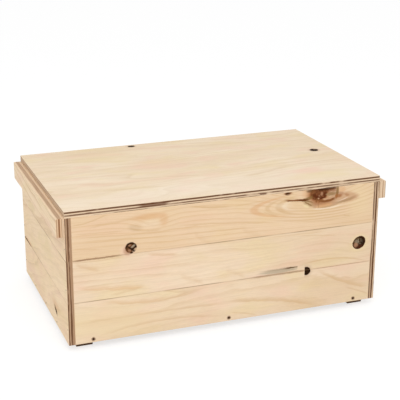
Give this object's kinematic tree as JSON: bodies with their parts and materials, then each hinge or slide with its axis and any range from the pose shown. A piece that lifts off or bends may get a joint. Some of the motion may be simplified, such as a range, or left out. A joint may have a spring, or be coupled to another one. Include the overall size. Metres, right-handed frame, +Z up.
{
  "type": "wooden storage box with lid",
  "caption": "Low rectangular plywood storage box with a loose lift-off lid, grip cleats along both ends and runners under the floor.",
  "frame": {"origin": "on the ground at the middle of the box's footprint", "axes": "+Z up; the front faces -Y; +X runs to the right along the box, seen from the front"},
  "size_m": [0.628, 0.364, 0.259],
  "materials": {
    "wall_plywood": "sanded, unfinished",
    "lid_plywood": "sanded, unfinished",
    "floor_plywood": "sanded, unfinished",
    "cleat_plywood": "sanded, unfinished",
    "strip_plywood": "sawn, unfinished",
    "nail_steel": "dull, darkened",
    "screw_steel": "yellow passivated zinc"
  },
  "bodies": {
    "box": {"front_panel": "wall_plywood", "back_panel": "wall_plywood", "left_end_panel": "wall_plywood", "right_end_panel": "wall_plywood", "bottom_panel": "floor_plywood", "left_handle_cleat": "cleat_plywood", "right_handle_cleat": "cleat_plywood", "left_base_runner": "strip_plywood", "right_base_runner": "strip_plywood", "front_floor_nails": "nail_steel", "back_floor_nails": "nail_steel", "left_floor_nails": "nail_steel", "right_floor_nails": "nail_steel", "left_corner_nails": "nail_steel", "right_corner_nails": "nail_steel", "left_cleat_screws": "screw_steel", "right_cleat_screws": "screw_steel", "left_runner_screws": "screw_steel", "right_runner_screws": "screw_steel"},
    "lid": {"lid_panel": "lid_plywood", "lid_left_batten": "strip_plywood", "lid_right_batten": "strip_plywood", "lid_left_batten_screws": "screw_steel", "lid_right_batten_screws": "screw_steel"}
  },
  "joints": [
    {"name": "lid_lift", "type": "slide", "parent": "box", "child": "lid", "axis": [0, 0, 1], "range_m": [0, 0.3]}
  ]
}
